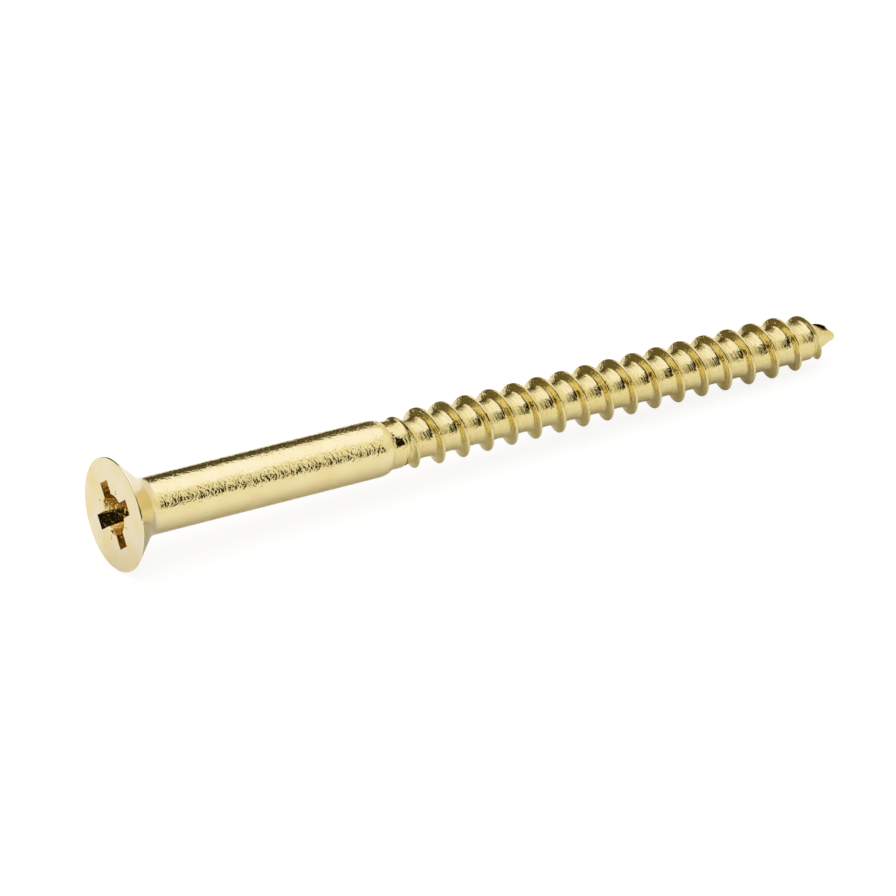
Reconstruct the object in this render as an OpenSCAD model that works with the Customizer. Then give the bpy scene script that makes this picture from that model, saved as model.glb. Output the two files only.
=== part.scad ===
// Countersunk wood screw, 5.0 x 70 mm, with a type Z cross recess and a plain shank.
// The axis lies along +X. The origin is the centre of the flat head face, and the point is at +X.
// The real screw is one forged and thread-rolled piece, so each node is a zone of that piece.

/* [Overall] */
// Length from the flat head face to the end of the point
screw_length = 70; // [60:1:90]

/* [Head] */
// Diameter of the flat head face
head_d = 9.6; // [9:0.1:10.5]
// Height of the thin upright rim round the face
rim_t = 0.15; // [0.1:0.05:0.4]
// Radius of the concave neck between the countersink cone and the shank
neck_r = 1.5; // [0.5:0.1:2]

/* [Cross recess] */
// Distance across two opposite wings at the face
wing_span = 5.7; // [5:0.1:6]
// Width of each wing
wing_w = 1.3; // [1:0.05:1.4]
// Depth of the wings below the face
recess_depth = 2.6; // [2:0.1:2.8]
// Radius of the round hollow between the wings, at the face
hollow_r = 1.75; // [1.4:0.05:1.9]
// Turn of the first wing about the axis, from +Y towards +Z
recess_turn = 55.5; // [0:0.5:90]
// Radius at which each identification tick starts
tick_start = 1.95; // [1.9:0.05:2.2]
// Length of each identification tick
tick_l = 0.45; // [0.3:0.05:0.6]

/* [Shank] */
// Diameter of the plain shank
shank_d = 4.8; // [4.5:0.05:4.9]
// Distance from the head face to the end of the full-size shank
shank_end = 24.3; // [20:0.1:26]
// Diameter of the rolling blank, seen where the thread starts
blank_d = 4.1; // [3.9:0.05:4.3]

/* [Thread] */
// Outer diameter of the thread
thread_d = 5; // [4.8:0.05:5.2]
// Diameter of the core between the turns
core_d = 3.4; // [3.2:0.05:3.6]
// Distance between neighbouring turns
pitch = 2.35; // [2.1:0.05:2.5]
// Place of the first ridge, from the head face
thread_start = 25.6; // [25:0.1:27]
// Angle about the axis at which the ridge starts, from +Y towards +Z
thread_clock = 244; // [0:1:359]
// Length over which the ridge grows to its full height
run_in = 3.4; // [2:0.1:5]

/* [Point] */
// Length of the tapered point
point_l = 3.2; // [2.8:0.1:5]
// Radius of the blunt end
tip_r = 0.42; // [0.3:0.02:0.6]

/* [Hidden] */
$fn = 96;
cut = 0.1;                              // overlap of a cutting tool past a face
half_cone = 45;                         // half of the 90 degree countersink
head_r = head_d / 2;
shank_r = shank_d / 2;
blank_r = blank_d / 2;
core_r = core_d / 2;
thread_r = thread_d / 2;
// Place where the cone would meet the shank with no neck radius
cone_end = rim_t + (head_r - shank_r) / tan(half_cone);
neck_reach = neck_r * tan(half_cone / 2);
head_l = cone_end + neck_reach;
shoulder_l = 1.1;                       // rounded drop from the shank to the blank
blank_end = shank_end + shoulder_l;
core_start = blank_end + 0.8;           // the core keeps the blank's size up to here
core_drop = 1;                          // and narrows to its own over this length
point_start = screw_length - point_l;
// Recess
wing_floor_r = 1.3;                     // radius across the wings at their full depth
wing_draft = (wing_span / 2 - wing_floor_r) / recess_depth;
hollow_floor_r = 0.95;
hollow_nose_l = 0.45;                   // conical floor of the hollow
hollow_nose_r = 0.1;
hollow_lap = 0.01;                      // overlap of the cone with the hollow above it
tick_w = 0.11;
tick_depth = 0.04;
// Thread ridge, as half widths at its foot and just below its crest
sections = 36;                          // sections in each turn
flank_half = 0.22;
root_half = 0.58;
root_sink = 0.05;                       // the ridge's foot sits this far inside the core
crest_drop = 0.13;                      // rounding of the crest's two edges
least_grow = 0.12;                      // narrowest ridge, as a share of its full width
nose_l = 6.7;                           // length over which the crest rounds off to the point
nose_start = screw_length - nose_l;
ridge_end = screw_length - 0.7;
fade_l = 0.6;                           // the last quarter turn sinks into the point
fade_end = ridge_end + pitch / 10;      // where the sinking crest would meet the core
turns = (ridge_end - thread_start) / pitch;
steps = floor(turns * sections);

// Local Z becomes +X, local X becomes +Y and local Y becomes +Z
module along_axis() {
    rotate([90, 0, 90])
        children();
}

// Core radius at a distance from the head face
function core_at(x) =
    x < core_start ? blank_r :
    x < core_start + core_drop ? blank_r - (blank_r - core_r) * (x - core_start) / core_drop :
    x < point_start ? core_r :
    core_r - (core_r - tip_r) * min(1, (x - point_start) / (point_l - tip_r));

// Crest radius: it grows over the run-in, and follows a quarter ellipse at the point
function crest_at(x) =
    x < thread_start + run_in
        ? blank_r + (thread_r - blank_r) * (x - thread_start) / run_in :
    x < nose_start ? thread_r :
    thread_r * sqrt(1 - pow((x - nose_start) / nose_l, 2));

// One section of the ridge at step i, as five points round its outline
function ridge_section(i) =
    let (
        x = thread_start + pitch * i / sections,
        a = thread_clock + 360 * i / sections,
        foot = core_at(x) - root_sink,
        crest = foot + (crest_at(x) - foot) * min(1, (fade_end - x) / fade_l),
        grow = max(least_grow, min(1, (crest - foot) / (thread_r - core_r))),
        outline = [
            [-root_half * grow, foot],
            [-flank_half * grow, crest - crest_drop * grow],
            [0, crest],
            [flank_half * grow, crest - crest_drop * grow],
            [root_half * grow, foot]
        ]
    )
    [for (p = outline) [p[1] * cos(a), p[1] * sin(a), x + p[0]]];

module ridge() {
    n = 5;
    points = [for (i = [0 : steps]) each ridge_section(i)];
    sides = [
        for (i = [0 : steps - 1], j = [0 : n - 1])
            let (a = i * n + j, b = i * n + (j + 1) % n)
                each [[a, b, b + n], [a, b + n, a + n]]
    ];
    start_cap = [for (j = [1 : n - 2]) [0, j + 1, j]];
    last = steps * n;
    end_cap = [for (j = [1 : n - 2]) [last, last + j, last + j + 1]];
    polyhedron(points, concat(sides, start_cap, end_cap), convexity = 12);
}

// Wings: a cross of two slots, cut back by a cone so that each wing gets shorter with depth
module wings() {
    intersection() {
        translate([0, 0, -cut])
            cylinder(r1 = wing_span / 2 + cut * wing_draft, r2 = wing_floor_r, h = recess_depth + cut);
        for (turn = [0, 90])
            rotate(turn)
                translate([-wing_span, -wing_w / 2, -cut])
                    cube([2 * wing_span, wing_w, recess_depth + cut]);
    }
}

// Round hollow between the wings, with a conical floor left by the punch's nose
module hollow() {
    translate([0, 0, -cut])
        cylinder(r1 = hollow_r, r2 = hollow_floor_r, h = recess_depth + cut);
    translate([0, 0, recess_depth - hollow_lap])
        cylinder(r1 = hollow_floor_r, r2 = hollow_nose_r, h = hollow_nose_l);
}

module ticks() {
    for (turn = [45 : 90 : 315])
        rotate(turn)
            translate([tick_start, -tick_w / 2, -cut])
                cube([tick_l, tick_w, cut + tick_depth]);
}

module head() {
    arc = [for (i = [1 : 7]) half_cone * i / 8];
    neck_axis = [shank_r + neck_r, head_l];
    color("gold")
        along_axis()
            difference() {
                rotate_extrude()
                    polygon(concat(
                        [[0, 0], [head_r, 0], [head_r, rim_t]],
                        [[shank_r + neck_r * (1 - cos(half_cone)), head_l - neck_r * sin(half_cone)]],
                        [for (a = arc) neck_axis + neck_r * [-cos(half_cone - a), -sin(half_cone - a)]],
                        [[shank_r, head_l], [0, head_l]]
                    ));
                rotate(recess_turn) {
                    wings();
                    hollow();
                    ticks();
                }
            }
}

module shank() {
    color("goldenrod")
        along_axis()
            translate([0, 0, head_l])
                cylinder(r = shank_r, h = shank_end - head_l);
}

module shoulder() {
    corner = [for (i = [1 : 7]) 90 * i / 8];
    drop = shank_r - blank_r;
    color("khaki")
        along_axis()
            rotate_extrude()
                polygon(concat(
                    [[0, shank_end], [shank_r, shank_end]],
                    [for (a = corner) [blank_r + drop * cos(a), shank_end + shoulder_l * sin(a)]],
                    [[blank_r, blank_end], [0, blank_end]]
                ));
}

module core() {
    color("palegoldenrod")
        along_axis()
            rotate_extrude()
                polygon([
                    [0, blank_end],
                    [blank_r, blank_end],
                    [blank_r, core_start],
                    [core_r, core_start + core_drop],
                    [core_r, point_start],
                    [0, point_start]
                ]);
}

module thread() {
    color("darkgoldenrod")
        along_axis()
            ridge();
}

module point() {
    tip = [for (i = [1 : 7]) 90 * i / 8];
    color("gold")
        along_axis()
            rotate_extrude()
                polygon(concat(
                    [[0, point_start], [core_r, point_start], [tip_r, screw_length - tip_r]],
                    [for (a = tip) [tip_r * cos(a), screw_length - tip_r + tip_r * sin(a)]],
                    [[0, screw_length]]
                ));
}

head();
shank();
shoulder();
core();
thread();
point();
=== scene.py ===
import math

import bmesh
import bpy
from mathutils import Matrix, Vector


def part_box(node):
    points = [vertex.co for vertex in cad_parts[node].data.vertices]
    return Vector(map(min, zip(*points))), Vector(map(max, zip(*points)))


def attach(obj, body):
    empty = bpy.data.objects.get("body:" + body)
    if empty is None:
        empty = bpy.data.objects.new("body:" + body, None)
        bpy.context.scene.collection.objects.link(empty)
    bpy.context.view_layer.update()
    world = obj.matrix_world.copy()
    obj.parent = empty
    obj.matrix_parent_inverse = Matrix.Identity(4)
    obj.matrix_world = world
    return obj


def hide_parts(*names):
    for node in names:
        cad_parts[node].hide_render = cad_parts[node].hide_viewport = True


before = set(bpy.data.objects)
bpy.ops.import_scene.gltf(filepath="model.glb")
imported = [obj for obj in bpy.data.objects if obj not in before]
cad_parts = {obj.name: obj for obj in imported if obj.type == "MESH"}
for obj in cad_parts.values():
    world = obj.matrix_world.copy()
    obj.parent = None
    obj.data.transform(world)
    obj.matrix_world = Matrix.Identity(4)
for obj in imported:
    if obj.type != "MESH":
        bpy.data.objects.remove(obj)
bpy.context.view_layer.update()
mm = 0.001


def radiusOf(node):
    low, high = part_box(node)
    return (high.z - low.z) / 2


def endsOf(node):
    low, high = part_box(node)
    return low.x, high.x


# mesh helpers
def spinProfile(bm, outline, steps):
    # turns a list of (x, radius) points once round the X axis
    verts = [bm.verts.new((x, r, 0)) for x, r in outline]
    edges = [bm.edges.new(pair) for pair in zip(verts, verts[1:])]
    bmesh.ops.spin(bm, geom=verts + edges, cent=(0, 0, 0), axis=(1, 0, 0), angle=2 * math.pi,
                   steps=steps, use_merge=True, use_normal_flip=False, use_duplicate=False)
    bmesh.ops.remove_doubles(bm, verts=bm.verts[:], dist=0.0005 * mm)


def arc(centre, radius, start, end, steps):
    # points on a circle in the (x, radius) plane, angles in degrees
    angles = [math.radians(start + (end - start) * i / steps) for i in range(steps + 1)]
    return [(centre[0] + radius * math.cos(a), centre[1] + radius * math.sin(a)) for a in angles]


def finishMesh(bm, name, sharpAngle=32):
    bmesh.ops.recalc_face_normals(bm, faces=bm.faces[:])
    for face in bm.faces:
        face.smooth = True
    for edge in bm.edges:
        if len(edge.link_faces) == 2:
            edge.smooth = edge.calc_face_angle(0) < math.radians(sharpAngle)
    mesh = bpy.data.meshes.new(name)
    bm.to_mesh(mesh)
    bm.free()
    piece = bpy.data.objects.new(name, mesh)
    bpy.context.scene.collection.objects.link(piece)
    return piece


def addPiece(piece, material, nodes):
    piece.data.materials.clear()
    piece.data.materials.append(material)
    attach(piece, "root")
    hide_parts(*nodes)
    print("made", piece.name, len(piece.data.polygons), "faces")


# materials
brass = {
    # painted light: the head gets a paler copy of the brass, which lightens its reflections
    "headLitBase": (0.89, 0.80, 0.60),
    "base": (0.89, 0.79, 0.455),
    "deep": (0.87, 0.73, 0.37),
    # painted shade: the thread gets a darker, more saturated copy of the brass
    "threadShadedBase": (0.85, 0.74, 0.39),
    "threadShadedDeep": (0.83, 0.69, 0.30),
    "recess": (0.91, 0.70, 0.30),    # painted shade: a deeper, darker brass inside the recess
    "toneSize": 2.2,                 # sizes and depths of the finish are in millimetres
    "hazeSize": 0.8,
    "lineSize": 0.14,
    "chatterSize": 0.35,             # punch marks on the walls of the recess
    "chatterDepth": 0.07,
    "lineStretch": 0.05,             # how little the rolling lines change round the screw
    "lineStart": 26.2,               # the blank before the thread isn't rolled
    "lineGrow": 0.8,
    "grain": 0.55,                   # how rough the noise of every finish is
    "toneRange": (0.35, 0.75),       # where the tone drift starts and is full
    "hazeShare": (0.7, 1.4),         # lowest and highest roughness, as a share of the finish's own
    "recessLean": 0.3,               # the recess's colour ends on a cone of this lean
    "recessEdge": (2.9, 3.0),
    "recessFade": (0.02, 0.2),       # depth over which that colour begins
}


def brassFinish(name, base, deep, pit, peel, roughness, helixPitch=0.0, lineDepth=0.0, recess=None):
    # polished brass: tone drift, pits, orange peel, and rolling lines that follow the thread
    material = bpy.data.materials.new(name)
    material.use_nodes = True
    tree = material.node_tree
    nodes, links = tree.nodes, tree.links
    shader = nodes["Principled BSDF"]
    shader.inputs["Metallic"].default_value = 1.0
    objectPlace = nodes.new("ShaderNodeTexCoord").outputs["Object"]

    def put(socket, value):
        if isinstance(value, bpy.types.NodeSocket):
            links.new(value, socket)
        else:
            socket.default_value = value

    def noise(size, detail, source):
        node = nodes.new("ShaderNodeTexNoise")
        node.inputs["Scale"].default_value = 1 / (size * mm)
        node.inputs["Detail"].default_value = detail
        node.inputs["Roughness"].default_value = brass["grain"]
        links.new(source, node.inputs["Vector"])
        return node.outputs["Fac"]

    def bump(height, depth, below=None, strength=1.0):
        node = nodes.new("ShaderNodeBump")
        put(node.inputs["Strength"], strength)
        node.inputs["Distance"].default_value = depth * mm
        links.new(height, node.inputs["Height"])
        if below:
            links.new(below, node.inputs["Normal"])
        return node.outputs["Normal"]

    def calc(operation, *values):
        node = nodes.new("ShaderNodeMath")
        node.operation = operation
        for socket, value in zip(node.inputs, values):
            put(socket, value)
        return node.outputs["Value"]

    def ramp(value, low, high, start, end):
        node = nodes.new("ShaderNodeMapRange")
        for label, number in (("From Min", low), ("From Max", high), ("To Min", start), ("To Max", end)):
            node.inputs[label].default_value = number
        links.new(value, node.inputs["Value"])
        return node.outputs["Result"]

    def mix(factor, first, second):
        node = nodes.new("ShaderNodeMix")
        node.data_type = "RGBA"
        put(node.inputs["Factor"], factor)
        put(node.inputs["A"], first)
        put(node.inputs["B"], second)
        return node.outputs["Result"]

    axes = nodes.new("ShaderNodeSeparateXYZ")
    links.new(objectPlace, axes.inputs["Vector"])
    alongX, sideY, sideZ = (axes.outputs[letter] for letter in "XYZ")

    toneLow, toneHigh = brass["toneRange"]
    drift = ramp(noise(brass["toneSize"], 3, objectPlace), toneLow, toneHigh, 0, 1)
    colour = mix(drift, (*base, 1), (*deep, 1))
    if recess:
        # inside the recess: below the face and nearer the axis than the cone's wall, where the colour is
        # painted shade
        fromAxis = calc("SQRT", calc("ADD", calc("MULTIPLY", sideY, sideY), calc("MULTIPLY", sideZ, sideZ)))
        inward = calc("ADD", fromAxis, calc("MULTIPLY", alongX, brass["recessLean"]))
        fadeStart, fadeEnd = brass["recessFade"]
        below = ramp(alongX, fadeStart * mm, fadeEnd * mm, 0, 1)
        edgeStart, edgeEnd = brass["recessEdge"]
        inside = calc("MULTIPLY", below, ramp(inward, edgeStart * mm, edgeEnd * mm, 1, 0))
        colour = mix(inside, colour, (*recess, 1))
    links.new(colour, shader.inputs["Base Color"])

    leastHaze, mostHaze = (roughness * share for share in brass["hazeShare"])
    haze = ramp(noise(brass["hazeSize"], 4, objectPlace), 0, 1, leastHaze, mostHaze)
    links.new(haze, shader.inputs["Roughness"])

    normal = bump(noise(peel[0], 2, objectPlace), peel[1])
    normal = bump(noise(pit[0], 1, objectPlace), pit[1], normal)
    if recess:
        normal = bump(noise(brass["chatterSize"], 2, objectPlace), brass["chatterDepth"], normal, inside)
    if lineDepth:
        angle = calc("ARCTAN2", sideZ, sideY)
        along = calc("SUBTRACT", alongX, calc("MULTIPLY", angle, helixPitch * mm / (2 * math.pi)))
        lines = nodes.new("ShaderNodeCombineXYZ")
        links.new(along, lines.inputs["X"])
        links.new(calc("MULTIPLY", sideY, brass["lineStretch"]), lines.inputs["Y"])
        links.new(calc("MULTIPLY", sideZ, brass["lineStretch"]), lines.inputs["Z"])
        lineStart = brass["lineStart"] * mm
        rolled = ramp(alongX, lineStart, lineStart + brass["lineGrow"] * mm, 0, 1)
        normal = bump(noise(brass["lineSize"], 2, lines.outputs["Vector"]), lineDepth, normal, rolled)
    links.new(normal, shader.inputs["Normal"])
    return material


# pit and peel are (size, depth) in millimetres
# the head's paler colour is painted light
headBrass = brassFinish("headBrass", brass["headLitBase"], brass["deep"], pit=(0.25, 0.0015),
                        peel=(1.2, 0.006), roughness=0.12, recess=brass["recess"])
shankBrass = brassFinish("shankBrass", brass["base"], brass["deep"], pit=(0.24, 0.030), peel=(0.8, 0.044),
                         roughness=0.10)
# the thread's darker colours are painted shade
threadBrass = brassFinish("threadBrass", brass["threadShadedBase"], brass["threadShadedDeep"], pit=(0.22, 0.026),
                          peel=(0.6, 0.034), roughness=0.11, helixPitch=2.35, lineDepth=0.052)

# head
head = {
    "rimHeight": 0.14 * mm,
    "edgeRound": 0.05 * mm,     # soft edge between the face and the rim
    "edgeSteps": 6,
    "coneEdge": 0.02 * mm,      # first narrow ring of the cone, which keeps the rim crisp
    "neckRadius": 1.5 * mm,
    "neckSteps": 14,
    "wingSpan": 5.7 * mm,
    "wingWidth": 1.3 * mm,
    "wingFloorWidth": 1.02 * mm,
    "wingFloorSpan": 2.6 * mm,
    "recessDepth": 2.6 * mm,
    "hollowRadius": 1.75 * mm,
    "hollowFloorRadius": 0.95 * mm,
    "hollowSteps": 64,
    "noseDepth": 0.45 * mm,
    "turn": 55.5,               # first wing, from +Y towards +Z
    "tickStart": 1.95 * mm,
    "tickLength": 0.45 * mm,
    "tickWidth": 0.11 * mm,
    "tickDepth": 0.04 * mm,
    "cutterOver": 0.3 * mm,     # how far the recess cutters stand above the face
    "steps": 160,
    "sharpAngle": 25,
}


def cutWith(piece, cutters):
    for cutter in cutters:
        boolean = piece.modifiers.new("cut", "BOOLEAN")
        boolean.operation = "DIFFERENCE"
        boolean.solver = "EXACT"
        boolean.object = cutter
    graph = bpy.context.evaluated_depsgraph_get()
    cutMesh = bpy.data.meshes.new_from_object(piece.evaluated_get(graph))
    piece.modifiers.clear()
    old = piece.data
    piece.data = cutMesh
    bpy.data.meshes.remove(old)
    for cutter in cutters:
        cutterMesh = cutter.data
        bpy.data.objects.remove(cutter)
        bpy.data.meshes.remove(cutterMesh)


def wingCutter(turn):
    # one pair of opposite wings: a box that narrows and shortens with depth
    over = head["cutterOver"]
    bm = bmesh.new()
    bmesh.ops.create_cube(bm, size=1)
    depth = head["recessDepth"]
    for v in bm.verts:
        deep = v.co.x > 0
        draftSpan = (head["wingSpan"] - head["wingFloorSpan"]) / depth * over
        draftWidth = (head["wingWidth"] - head["wingFloorWidth"]) / depth * over
        span = head["wingFloorSpan"] if deep else head["wingSpan"] + draftSpan
        width = head["wingFloorWidth"] if deep else head["wingWidth"] + draftWidth
        v.co = (depth if deep else -over, v.co.y * span, v.co.z * width)
    bmesh.ops.rotate(bm, verts=bm.verts, cent=(0, 0, 0),
                     matrix=Matrix.Rotation(math.radians(turn), 3, "X"))
    return finishMesh(bm, "wingCutter")


def hollowCutter():
    over = head["cutterOver"]
    bm = bmesh.new()
    depth, top, floor = head["recessDepth"], head["hollowRadius"], head["hollowFloorRadius"]
    draft = (top - floor) / depth * over
    spinProfile(bm, [(-over, 0), (-over, top + draft), (depth, floor),
                     (depth + head["noseDepth"], 0)], head["hollowSteps"])
    return finishMesh(bm, "hollowCutter")


def tickCutter(turn):
    bm = bmesh.new()
    bmesh.ops.create_cube(bm, size=1)
    bmesh.ops.scale(bm, verts=bm.verts, vec=(2 * head["tickDepth"], head["tickLength"], head["tickWidth"]))
    bmesh.ops.translate(bm, verts=bm.verts, vec=(0, head["tickStart"] + head["tickLength"] / 2, 0))
    bmesh.ops.rotate(bm, verts=bm.verts, cent=(0, 0, 0),
                     matrix=Matrix.Rotation(math.radians(turn), 3, "X"))
    return finishMesh(bm, "tickCutter")


def makeHead():
    faceRadius = radiusOf("head")
    shankRadius = radiusOf("shank")
    length = endsOf("head")[1]
    edge, rim, neck = head["edgeRound"], head["rimHeight"], head["neckRadius"]
    outline = [(0, 0)]
    outline += arc((edge, faceRadius - edge), edge, 180, 90, head["edgeSteps"])
    outline += [(rim, faceRadius), (rim + head["coneEdge"], faceRadius - head["coneEdge"])]
    outline += arc((length, shankRadius + neck), neck, 225, 270, head["neckSteps"])
    outline += [(length, 0)]
    bm = bmesh.new()
    spinProfile(bm, outline, head["steps"])
    piece = finishMesh(bm, "screwHead")
    turn = head["turn"]
    cutWith(piece, [wingCutter(turn), wingCutter(turn + 90), hollowCutter()])
    cutWith(piece, [tickCutter(turn + 45 + 90 * i) for i in range(4)])
    bm = bmesh.new()
    bm.from_mesh(piece.data)
    bmesh.ops.remove_doubles(bm, verts=bm.verts[:], dist=0.001 * mm)
    bmesh.ops.recalc_face_normals(bm, faces=bm.faces[:])
    # the flat face is shaded flat, so that its long triangles don't show
    flat = -0.9999
    sharp = math.radians(head["sharpAngle"])
    for face in bm.faces:
        face.smooth = face.normal.x > flat
    for e in bm.edges:
        if len(e.link_faces) == 2:
            e.smooth = e.calc_face_angle(0) < sharp and all(f.smooth for f in e.link_faces)
    bm.to_mesh(piece.data)
    bm.free()
    addPiece(piece, headBrass, ["head"])


# shank and shoulder
shank = {"steps": 160, "lengthSteps": 48}
shoulder = {"steps": 160, "cornerSteps": 16, "blankRadius": 2.05 * mm}


def makeShank():
    start, end = endsOf("shank")
    radius = radiusOf("shank")
    bm = bmesh.new()
    count = shank["lengthSteps"]
    side = [(start + (end - start) * i / count, radius) for i in range(count + 1)]
    spinProfile(bm, [(start, 0)] + side + [(end, 0)], shank["steps"])
    addPiece(finishMesh(bm, "plainShank"), shankBrass, ["shank"])


def makeShoulder():
    start, end = endsOf("shoulder")
    radius = radiusOf("shoulder")
    blank = shoulder["blankRadius"]
    drop = radius - blank
    count = shoulder["cornerSteps"]
    corner = []
    for i in range(count + 1):
        a = math.radians(90 * i / count)
        corner.append((start + (end - start) * math.sin(a), blank + drop * math.cos(a)))
    bm = bmesh.new()
    spinProfile(bm, [(start, 0)] + corner + [(end, 0)], shoulder["steps"])
    addPiece(finishMesh(bm, "shankShoulder"), shankBrass, ["shoulder"])


# threaded end
thread = {
    "pitch": 2.35 * mm,
    "outerRadius": 2.5 * mm,
    "coreRadius": 1.7 * mm,
    "blankRadius": 2.05 * mm,
    "start": 25.6 * mm,         # where the first ridge rises
    "clock": 244,               # its angle about the axis, from +Y towards +Z
    "runIn": 3.4 * mm,
    "coreTaper": (26.5 * mm, 27.5 * mm),
    "coreSteps": 128,
    "coreTaperSteps": 12,
    "coreLengthSteps": 80,
    "crestRadius": 0.13 * mm,
    "crestSteps": 7,
    "flankAngle": 22,
    "footRadius": 0.30 * mm,
    "footSteps": 6,
    "valleyRadius": 3.0 * mm,   # the valley between two ridges is slightly hollow
    "valleyAngle": 12,
    "valleyEnd": 269,           # the arc stops just above the core, where 270 would be its lowest place
    "footSink": 0.02 * mm,
    "footSpread": 0.01 * mm,
    "noseLength": 6.7 * mm,     # the crest rounds off over this length
    "fade": 0.6 * mm,           # and at its very end over this one
    "fadeRoom": 0.05 * mm,
    "leastHeight": 0.02 * mm,
    "leastWidth": 0.25,         # width of a ridge with no height, as a share of its full width
    "folds": ((0.13 * mm, 136), (0.32 * mm, 148)),   # place past the shoulder, angle about the axis
    "foldLength": 0.95 * mm,
    "foldWidth": 0.06 * mm,
    "foldDepth": 0.05 * mm,
    "foldTaper": 0.3,           # width of its bottom, as a share of its mouth
    "foldSlant": -8,
    "stepsPerTurn": 96,
    "sharpAngle": 60,
    "endGap": 0.7 * mm,         # bare metal between the thread and the tip
}
point = {
    "tipRadius": 0.42 * mm,
    "droop": 0.24 * mm,         # the rolled tip sits a little below the axis
    "steps": 128,
    "taperSteps": 12,
    "tipSteps": 8,
}
pointStart, tipX = endsOf("point")


def coreAt(x):
    taperStart, taperEnd = thread["coreTaper"]
    core, blank, tip = thread["coreRadius"], thread["blankRadius"], point["tipRadius"]
    if x < taperEnd:
        t = min(1, max(0, (x - taperStart) / (taperEnd - taperStart)))
        return blank - (blank - core) * (3 * t * t - 2 * t ** 3)
    if x < pointStart:
        return core
    return core - (core - tip) * min(1, (x - pointStart) / (tipX - tip - pointStart))


def crestAt(x):
    outer, blank = thread["outerRadius"], thread["blankRadius"]
    grown = (x - thread["start"]) / thread["runIn"]
    if grown < 1:
        return blank + (outer - blank) * grown
    nose = (x - (tipX - thread["noseLength"])) / thread["noseLength"]
    return outer if nose < 0 else outer * math.sqrt(max(0, 1 - nose ** 2))


def droopAt(x):
    return point["droop"] * (max(0, x - pointStart) / (tipX - pointStart)) ** 2


def ridgeOutline():
    # half of the ridge, as (offset along the axis, rise from 0 at the core to 1 at the crest)
    height = thread["outerRadius"] - thread["coreRadius"]
    crest, foot = thread["crestRadius"], thread["footRadius"]
    flank, valley, wide = thread["flankAngle"], thread["valleyAngle"], thread["valleyRadius"]
    s, c = math.sin(math.radians(flank)), math.cos(math.radians(flank))
    lift = (wide - foot) * (1 - math.cos(math.radians(valley)))
    run = (height - lift - (crest + foot) * (1 - s)) / c
    footCentre = (crest + foot) * c + run * s
    valleyCentre = footCentre + (wide - foot) * math.sin(math.radians(valley))
    steps = thread["footSteps"]
    points = arc((0, height - crest), crest, 90, flank, thread["crestSteps"])
    points += arc((footCentre, foot + lift), foot, 180 + flank, 270 - valley, steps)
    points += arc((valleyCentre, wide), wide, 270 - valley, thread["valleyEnd"], steps)[1:]
    half = [(x, y / height) for x, y in points]
    half.append((half[-1][0] + thread["footSpread"], -thread["footSink"] / height))
    return [(-x, y) for x, y in reversed(half[1:])] + half


def sweepRidge(bm, steps):
    # turns the ridge's outline along the helix and returns the vertices it made
    pitch, perTurn = thread["pitch"], thread["stepsPerTurn"]
    offset, rise = bm.verts.layers.float["offset"], bm.verts.layers.float["rise"]
    known = set(bm.verts)
    ring = []
    for along, up in ridgeOutline():
        v = bm.verts.new((thread["start"] + along, 1 * mm, 0))
        v[offset], v[rise] = along, up
        ring.append(v)
    edges = [bm.edges.new((a, b)) for a, b in zip(ring, ring[1:] + ring[:1])]
    bmesh.ops.rotate(bm, verts=ring, cent=(0, 0, 0),
                     matrix=Matrix.Rotation(math.radians(thread["clock"]), 3, "X"))
    bmesh.ops.spin(bm, geom=ring + edges, cent=(0, 0, 0), axis=(1, 0, 0),
                   dvec=(pitch / perTurn, 0, 0), angle=2 * math.pi * steps / perTurn,
                   steps=steps, use_merge=False, use_normal_flip=False, use_duplicate=False)
    return [v for v in bm.verts if v not in known]


def makeThread():
    pitch, perTurn = thread["pitch"], thread["stepsPerTurn"]
    steps = int((tipX - thread["endGap"] - thread["start"]) / pitch * perTurn)
    wholeTurns, rest = divmod(steps, perTurn)
    bm = bmesh.new()
    offset = bm.verts.layers.float.new("offset")
    rise = bm.verts.layers.float.new("rise")
    sweepRidge(bm, perTurn)
    oneTurn = bm.verts[:] + bm.edges[:] + bm.faces[:]
    for turn in range(1, wholeTurns):
        copied = bmesh.ops.duplicate(bm, geom=oneTurn)["geom"]
        bmesh.ops.translate(bm, verts=[g for g in copied if isinstance(g, bmesh.types.BMVert)],
                            vec=(pitch * turn, 0, 0))
    bmesh.ops.translate(bm, verts=sweepRidge(bm, rest), vec=(pitch * wholeTurns, 0, 0))
    bmesh.ops.remove_doubles(bm, verts=bm.verts[:], dist=0.0005 * mm)
    bmesh.ops.holes_fill(bm, edges=[e for e in bm.edges if e.is_boundary], sides=0)
    endX = thread["start"] + pitch * steps / perTurn
    fullHeight = thread["outerRadius"] - thread["coreRadius"]
    leastWidth = thread["leastWidth"]
    for v in bm.verts:
        x = v.co.x - v[offset]
        low = coreAt(v.co.x)
        fade = min(1, (endX + thread["fadeRoom"] - x) / thread["fade"])
        height = max(thread["leastHeight"], (crestAt(x) - coreAt(x)) * fade)
        share = min(1, height / fullHeight)
        radius = low + v[rise] * (height if v[rise] > 0 else fullHeight)
        angle = math.atan2(v.co.z, v.co.y)
        place = x + v[offset] * (leastWidth + (1 - leastWidth) * share)
        v.co = (place, radius * math.cos(angle), radius * math.sin(angle) - droopAt(place))
    piece = finishMesh(bm, "threadRidge", thread["sharpAngle"])
    addPiece(piece, threadBrass, ["thread"])


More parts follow.
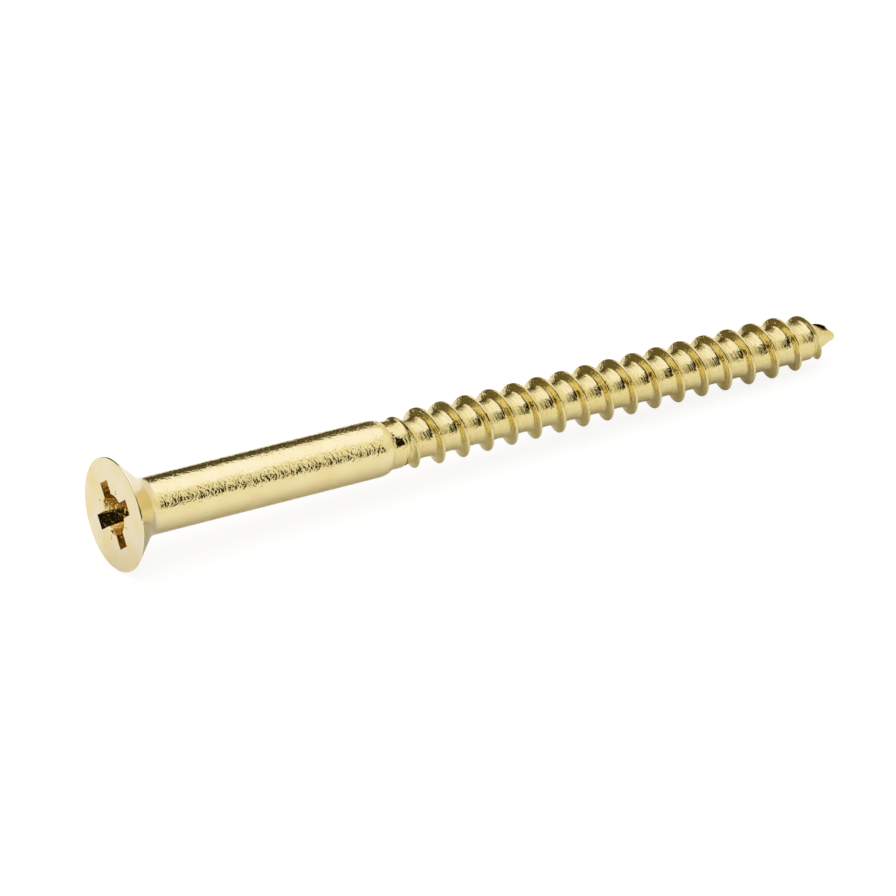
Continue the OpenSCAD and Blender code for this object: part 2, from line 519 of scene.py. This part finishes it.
def foldCutter(place, angle):
    # a short slit that rolling leaves where the first ridge is pressed up
    bm = bmesh.new()
    bmesh.ops.create_cube(bm, size=1)
    depth = thread["foldDepth"]
    bmesh.ops.scale(bm, verts=bm.verts, vec=(thread["foldWidth"], thread["foldLength"], 4 * depth))
    for v in bm.verts:
        if v.co.z < 0:
            v.co.x *= thread["foldTaper"]
    bmesh.ops.rotate(bm, verts=bm.verts, cent=(0, 0, 0),
                     matrix=Matrix.Rotation(math.radians(thread["foldSlant"]), 3, "Z"))
    bmesh.ops.translate(bm, verts=bm.verts, vec=(place, 0, thread["blankRadius"] + depth))
    bmesh.ops.rotate(bm, verts=bm.verts, cent=(0, 0, 0),
                     matrix=Matrix.Rotation(math.radians(angle - 90), 3, "X"))
    return finishMesh(bm, "foldCutter")


def makeCore():
    start, end = endsOf("core")
    taperStart, taperEnd = thread["coreTaper"]
    taperSteps, lengthSteps = thread["coreTaperSteps"], thread["coreLengthSteps"]
    places = [start]
    places += [taperStart + (taperEnd - taperStart) * i / taperSteps for i in range(taperSteps + 1)]
    places += [taperEnd + (end - taperEnd) * i / lengthSteps for i in range(1, lengthSteps + 1)]
    bm = bmesh.new()
    spinProfile(bm, [(start, 0)] + [(x, coreAt(x)) for x in places] + [(end, 0)], thread["coreSteps"])
    piece = finishMesh(bm, "threadedCore")
    cutWith(piece, [foldCutter(start + along, angle) for along, angle in thread["folds"]])
    addPiece(piece, threadBrass, ["core"])


def makePoint():
    tip = point["tipRadius"]
    taper = tipX - tip - pointStart
    count = point["taperSteps"]
    places = [pointStart + taper * i / count for i in range(count + 1)]
    outline = [(pointStart, 0)] + [(x, coreAt(x)) for x in places]
    outline += arc((tipX - tip, 0), tip, 90, 0, point["tipSteps"])[1:]
    bm = bmesh.new()
    spinProfile(bm, outline, point["steps"])
    for v in bm.verts:
        v.co.z -= droopAt(v.co.x)
    addPiece(finishMesh(bm, "gimletPoint"), threadBrass, ["point"])


makeHead()
makeShank()
makeShoulder()
makeCore()
makeThread()
makePoint()

# floor, light and camera
studio = {
    "floorColour": (0.735, 0.725, 0.665),
    "floorGlow": 0.05,          # the table is a lit sheet
    "floorWhite": 1.06,         # and its picture is printed out to white, with a trace of the shadow left
    "floorWhiteShare": 0.82,
    "floorRoughness": 0.9,
    "floorGloss": 0.1,
    "floorSize": 6.0,           # metres across
    "floorSides": 96,
    "floorDrop": 1.002,         # share of the head's radius, a hair more than one
    "restLength": 64.5 * mm,    # from the head rim to where the thread touches the table
    "tableLight": 2.1,
    "tableLightSpread": 100,    # degrees, so that the shadow stays faint
    "tableLightLean": -40,
    "overhead": (1.10, 1.12, 1.36),
    "overheadEdge": (0.97, 0.93, 0.76),
    "topLeft": (0.17, 0.13, 0.055),
    "behindRight": (0.085, 0.062, 0.022),
    "behindLeft": (0.15, 0.115, 0.05),
    "left": (0.38, 0.33, 0.13),
    "right": (0.84, 0.79, 0.62),
    "front": (0.010, 0.006, 0.002),
    "frontLow": (0.95, 0.90, 0.74),
}
# where one part of the surround gives way to the next: the axis, and the start and end of the blend
lightEdges = {
    "frontFoot": ("Z", 0.07, 0.15),
    "frontRight": ("X", 0.45, 0.48),
    "behindMiddle": ("X", -0.20, 0.30),
    "behindRight": ("X", 0.47, 0.62),
    "overhead": ("Z", 0.70, 0.86),
    "topLeft": ("X", -0.72, -0.50),
    "frontTopRight": ("Z", 0.39, 0.53),
    "frontTopLeft": ("Z", 0.70, 0.84),
    "frontTurn": ("X", 0.25, 0.47),
    "behindTopLeft": ("Z", 0.46, 0.60),
    "behindTopRight": ("Z", 0.64, 0.76),
    "behindTurn": ("X", 0.05, 0.35),
    "frontToBehind": ("Y", -0.25, 0.25),
    "left": ("X", -0.97, -0.84),
}


def makeFloor():
    # the screw lies on its head rim and on the thread near the point
    headRadius = radiusOf("head")
    slope = (headRadius - thread["outerRadius"]) / studio["restLength"]
    bm = bmesh.new()
    bmesh.ops.create_circle(bm, cap_ends=True, radius=studio["floorSize"] / 2,
                            segments=studio["floorSides"])
    bmesh.ops.rotate(bm, verts=bm.verts, cent=(0, 0, 0),
                     matrix=Matrix.Rotation(-math.atan(slope), 3, "Y"))
    bmesh.ops.translate(bm, verts=bm.verts, vec=(0, 0, -headRadius * studio["floorDrop"]))
    mesh = bpy.data.meshes.new("floor")
    bm.to_mesh(mesh)
    bm.free()
    floor = bpy.data.objects.new("floor", mesh)
    bpy.context.scene.collection.objects.link(floor)
    material = bpy.data.materials.new("paleFloor")
    material.use_nodes = True
    nodes, links = material.node_tree.nodes, material.node_tree.links
    shader = nodes["Principled BSDF"]
    shader.inputs["Base Color"].default_value = (*studio["floorColour"], 1)
    shader.inputs["Roughness"].default_value = studio["floorRoughness"]
    shader.inputs["Specular IOR Level"].default_value = studio["floorGloss"]
    shader.inputs["Emission Color"].default_value = (1, 1, 1, 1)
    shader.inputs["Emission Strength"].default_value = studio["floorGlow"]
    white = nodes.new("ShaderNodeEmission")
    white.inputs["Strength"].default_value = studio["floorWhite"]
    share = nodes.new("ShaderNodeMath")
    share.operation = "MULTIPLY"
    share.inputs[1].default_value = studio["floorWhiteShare"]
    links.new(nodes.new("ShaderNodeLightPath").outputs["Is Camera Ray"], share.inputs[0])
    blend = nodes.new("ShaderNodeMixShader")
    links.new(share.outputs["Value"], blend.inputs["Fac"])
    links.new(shader.outputs["BSDF"], blend.inputs[1])
    links.new(white.outputs["Emission"], blend.inputs[2])
    links.new(blend.outputs["Shader"], nodes["Material Output"].inputs["Surface"])
    mesh.materials.append(material)


def makeStudioLight():
    # one soft surround: a broad light overhead, a dark wall behind and in front, gold-lit sides
    world = bpy.data.worlds.new("studioSurround")
    bpy.context.scene.world = world
    world.use_nodes = True
    tree = world.node_tree
    nodes, links = tree.nodes, tree.links
    axes = nodes.new("ShaderNodeSeparateXYZ")
    links.new(nodes.new("ShaderNodeTexCoord").outputs["Generated"], axes.inputs["Vector"])

    def blend(edge, first, second):
        axis, start, end = lightEdges[edge]
        share = nodes.new("ShaderNodeMapRange")
        share.interpolation_type = "SMOOTHSTEP"
        share.inputs["From Min"].default_value = start
        share.inputs["From Max"].default_value = end
        links.new(axes.outputs[axis], share.inputs["Value"])
        node = nodes.new("ShaderNodeMix")
        node.data_type = "RGBA"
        links.new(share.outputs["Result"], node.inputs["Factor"])
        for label, value in (("A", first), ("B", second)):
            if isinstance(value, tuple):
                node.inputs[label].default_value = (*value, 1)
            else:
                links.new(value, node.inputs[label])
        return node.outputs["Result"]

    front = blend("frontFoot", studio["frontLow"], studio["front"])
    front = blend("frontRight", front, studio["right"])
    behind = blend("behindMiddle", studio["behindLeft"], studio["behindRight"])
    behind = blend("behindRight", behind, studio["right"])
    light = blend("overhead", studio["overheadEdge"], studio["overhead"])
    above = blend("topLeft", studio["topLeft"], light)
    low = blend("frontTopRight", front, above)
    high = blend("frontTopLeft", front, above)
    front = blend("frontTurn", high, low)
    low = blend("behindTopLeft", behind, above)
    high = blend("behindTopRight", behind, above)
    behind = blend("behindTurn", low, high)
    band = blend("frontToBehind", front, behind)
    surround = blend("left", studio["left"], band)
    links.new(surround, nodes["Background"].inputs["Color"])

    # a very soft lamp that lights the table and leaves no glint on the brass
    lamp = bpy.data.lights.new("tableLamp", "SUN")
    lamp.energy = studio["tableLight"]
    lamp.angle = math.radians(studio["tableLightSpread"])
    lampObject = bpy.data.objects.new("tableLamp", lamp)
    lampObject.visible_glossy = False
    lampObject.rotation_euler = (0, math.radians(studio["tableLightLean"]), 0)
    bpy.context.scene.collection.objects.link(lampObject)


view = {
    "azimuth": -31.3,
    "elevation": 24.72,
    "distance": 714.8 * mm,
    "right": -27.12 * mm,       # where the head's centre falls from the middle of the frame
    "up": -5.42 * mm,
    "lens": 354.2,
    "sensor": 36,
}


def makeCamera():
    data = bpy.data.cameras.new("viewCamera")
    data.lens = view["lens"]
    data.sensor_width = view["sensor"]
    camera = bpy.data.objects.new("viewCamera", data)
    bpy.context.scene.collection.objects.link(camera)
    swing = Matrix.Rotation(math.radians(view["azimuth"]), 3, "Z")
    turn = swing @ Matrix.Rotation(math.radians(90 - view["elevation"]), 3, "X")
    camera.rotation_euler = turn.to_euler()
    camera.location = -(turn @ Vector((view["right"], view["up"], -view["distance"])))
    bpy.context.scene.camera = camera


makeFloor()
makeStudioLight()
makeCamera()
bpy.context.scene.view_settings.view_transform = "Standard"
print("floor, light and camera are ready")
